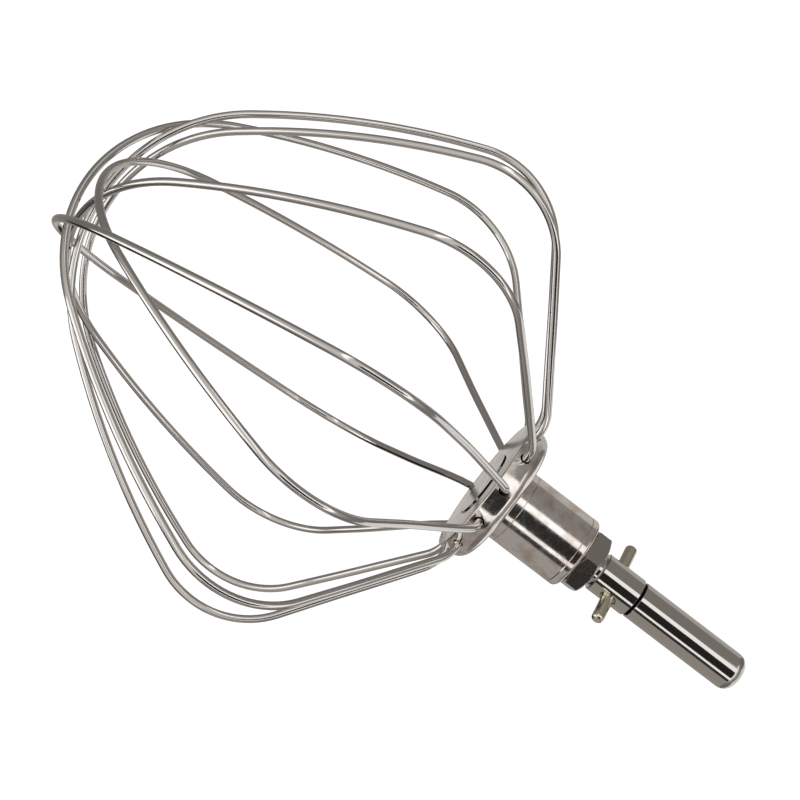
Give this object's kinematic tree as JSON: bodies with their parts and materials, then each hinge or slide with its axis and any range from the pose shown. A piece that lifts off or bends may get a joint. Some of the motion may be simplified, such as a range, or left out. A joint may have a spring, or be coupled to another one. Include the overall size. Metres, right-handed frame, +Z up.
{
  "type": "wire whisk attachment",
  "caption": "Balloon wire whisk for a planetary stand mixer: spring-wire loops seated in a flanged hub on a threaded drive shank with a lock nut and a bayonet cross pin.",
  "frame": {"origin": "on the shank's axis, at the plane where the plain drive shank starts above the collar's groove", "axes": "+Z up along the shank to its free end, with the balloon hanging towards -Z; +X along the bayonet cross pin"},
  "size_m": [0.1756, 0.1693, 0.2539],
  "materials": {
    "spring_wire": "polished stainless spring wire",
    "turned_steel": "fine turned, satin",
    "polished_steel": "turned and polished",
    "nut_steel": "bright machined",
    "pin_steel": "ground pin, slightly warm"
  },
  "bodies": {
    "shank_assembly": {"shank": "polished_steel", "drive_pin": "pin_steel"},
    "locking_nut": {"lock_nut": "nut_steel"},
    "whisk_head": {"hub_sleeve": "turned_steel", "wire_flange": "turned_steel", "wire_loop_1": "spring_wire", "wire_loop_2": "spring_wire", "wire_loop_3": "spring_wire", "wire_loop_4": "spring_wire", "wire_loop_5": "spring_wire", "wire_loop_6": "spring_wire"}
  },
  "joints": [
    {"name": "height_adjust", "type": "slide", "parent": "shank_assembly", "child": "locking_nut", "axis": [0, 0, 1], "range_m": [-0.00526, 0]},
    {"name": "head_turn", "type": "hinge", "parent": "locking_nut", "child": "whisk_head", "pos_m": [0, 0, -0.04], "axis": [0, 0, 1], "range_deg": [-1080, 0]}
  ],
  "couplings": [
    {"joint": "height_adjust", "follows": "head_turn", "m_per_rad": 0.00027852}
  ]
}
